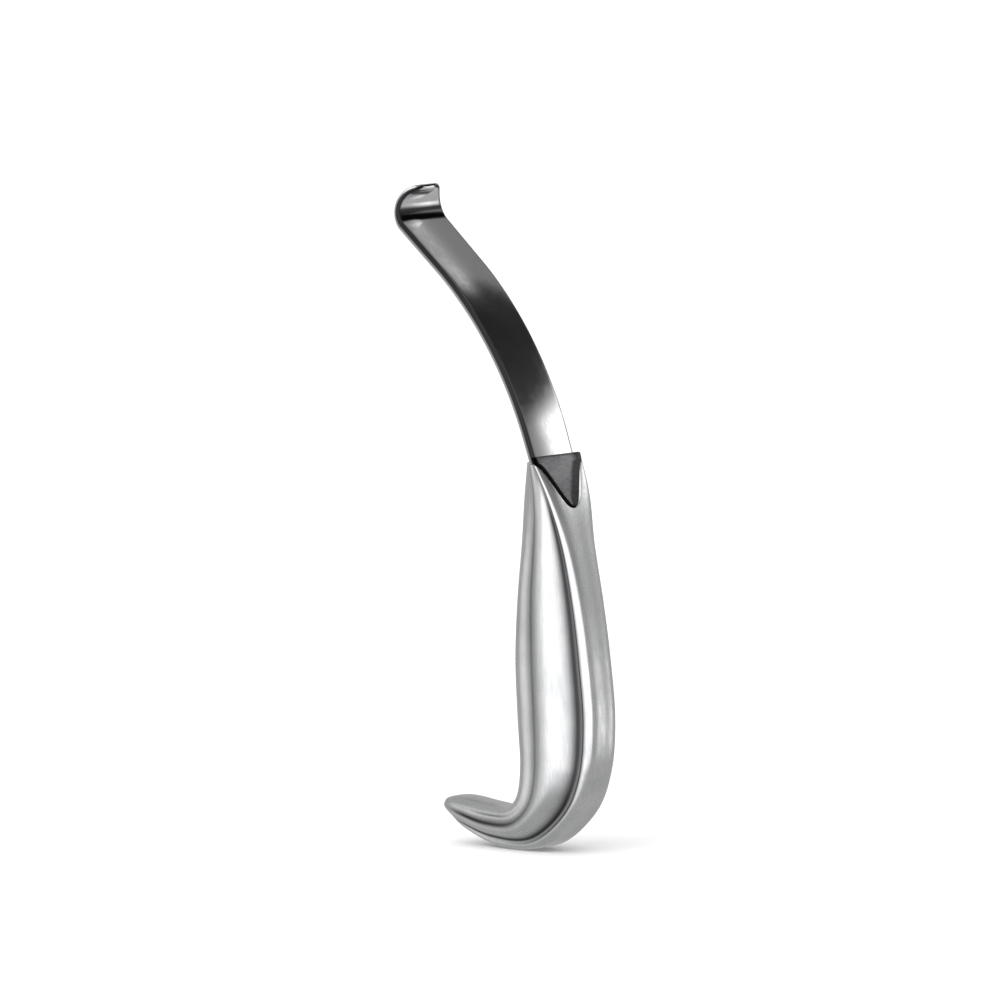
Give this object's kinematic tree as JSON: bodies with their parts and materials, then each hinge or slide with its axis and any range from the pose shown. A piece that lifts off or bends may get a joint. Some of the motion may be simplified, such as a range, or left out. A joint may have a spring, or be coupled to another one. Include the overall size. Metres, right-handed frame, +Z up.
{
  "type": "dental elevator",
  "caption": "Hook-handled oral elevator: curved strip blade with a curled lip, brazed into a solid neck block on a hollow fluted handle whose end bends into a finger hook.",
  "frame": {"origin": "middle of the bounding box in X and Y, at the lowest point of the hook", "axes": "+Z runs up the handle towards the blade's tip, -X is the way that both the hook and the blade bend, XZ is the plane of symmetry"},
  "size_m": [0.057, 0.0154, 0.1483],
  "materials": {
    "polished_steel": "polished",
    "satin_steel": "satin",
    "ground_steel": "ground, dark",
    "weld_bead": "ground flush",
    "silver_braze": "as brazed"
  },
  "bodies": {
    "root": {"blade": "polished_steel", "neck_block": "ground_steel", "handle_shell_left": "satin_steel", "handle_shell_right": "satin_steel", "seam_weld": "weld_bead", "tang_braze": "silver_braze"}
  },
  "joints": []
}
